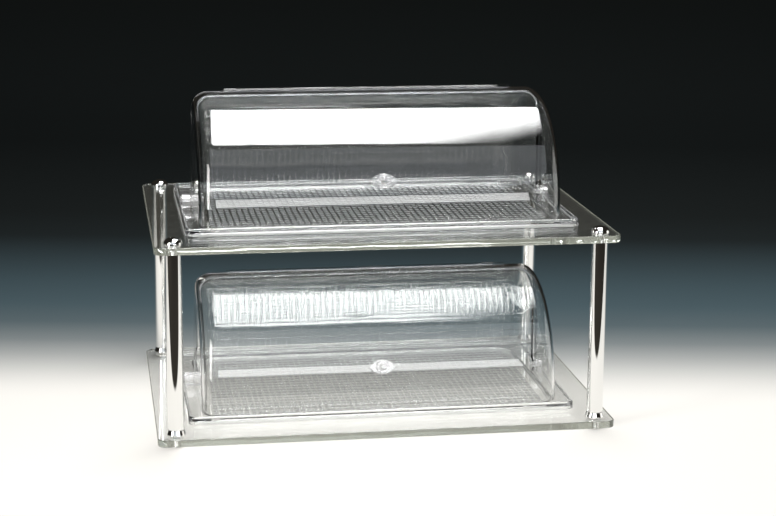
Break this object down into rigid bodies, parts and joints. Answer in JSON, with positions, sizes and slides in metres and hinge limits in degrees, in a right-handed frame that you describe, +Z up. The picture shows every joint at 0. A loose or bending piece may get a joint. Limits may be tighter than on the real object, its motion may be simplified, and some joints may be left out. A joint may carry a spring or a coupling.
{
  "type": "roll top display stand",
  "caption": "Two-tier buffet stand: clear plates on chrome posts, each with a clear tray under a roll top hood whose front shell rolls back over its rear shell.",
  "frame": {"origin": "on the ground, below the middle of the stand", "axes": "+X to the right along the plates' length, +Y to the rear, +Z up; the knobs face -Y"},
  "size_m": [0.616, 0.44, 0.4418],
  "materials": {
    "plate_glass": "clear glass with polished, slightly green edges",
    "tray_clear": "clear moulded plastic with a fine dimpled floor",
    "hood_clear": "clear polished moulded plastic",
    "fitting_clear": "clear polished moulded plastic, thick",
    "chrome": "mirror chrome plating",
    "bolt_steel": "turned bright steel",
    "nylon": "natural nylon"
  },
  "bodies": {
    "stand": {"lower_plate": "plate_glass", "upper_plate": "plate_glass", "tie_bolt_front_left": "bolt_steel", "tie_bolt_front_right": "bolt_steel", "tie_bolt_rear_left": "bolt_steel", "tie_bolt_rear_right": "bolt_steel", "foot_washer_front_left": "nylon", "foot_washer_front_right": "nylon", "foot_washer_rear_left": "nylon", "foot_washer_rear_right": "nylon", "base_collar_front_left": "chrome", "base_collar_front_right": "chrome", "base_collar_rear_left": "chrome", "base_collar_rear_right": "chrome", "post_tube_front_left": "chrome", "post_tube_front_right": "chrome", "post_tube_rear_left": "chrome", "post_tube_rear_right": "chrome", "post_bush_front_left": "nylon", "post_bush_front_right": "nylon", "post_bush_rear_left": "nylon", "post_bush_rear_right": "nylon", "cap_nut_front_left": "chrome", "cap_nut_front_right": "chrome", "cap_nut_rear_left": "chrome", "cap_nut_rear_right": "chrome"},
    "lower_cabinet": {"lower_tray": "tray_clear", "lower_rear_hood": "hood_clear", "lower_pivot_block_left": "fitting_clear", "lower_pivot_block_right": "fitting_clear", "lower_pivot_pin_left": "fitting_clear", "lower_pivot_pin_right": "fitting_clear"},
    "lower_roll_top": {"lower_front_hood": "hood_clear", "lower_knob_plate": "fitting_clear", "lower_knob": "fitting_clear"},
    "upper_cabinet": {"upper_tray": "tray_clear", "upper_rear_hood": "hood_clear", "upper_pivot_block_left": "fitting_clear", "upper_pivot_block_right": "fitting_clear", "upper_pivot_pin_left": "fitting_clear", "upper_pivot_pin_right": "fitting_clear"},
    "upper_roll_top": {"upper_front_hood": "hood_clear", "upper_knob_plate": "fitting_clear", "upper_knob": "fitting_clear"}
  },
  "joints": [
    {"name": "lower_tray_slide", "type": "slide", "parent": "stand", "child": "lower_cabinet", "axis": [0, -1, 0], "range_m": [0, 0.2]},
    {"name": "upper_tray_slide", "type": "slide", "parent": "stand", "child": "upper_cabinet", "axis": [0, -1, 0], "range_m": [0, 0.2]},
    {"name": "lower_hood_roll", "type": "hinge", "parent": "lower_cabinet", "child": "lower_roll_top", "pos_m": [0, 0, 0.0329], "axis": [-1, 0, 0], "range_deg": [0, 86]},
    {"name": "upper_hood_roll", "type": "hinge", "parent": "upper_cabinet", "child": "upper_roll_top", "pos_m": [0, 0, 0.2899], "axis": [-1, 0, 0], "range_deg": [0, 86]}
  ]
}
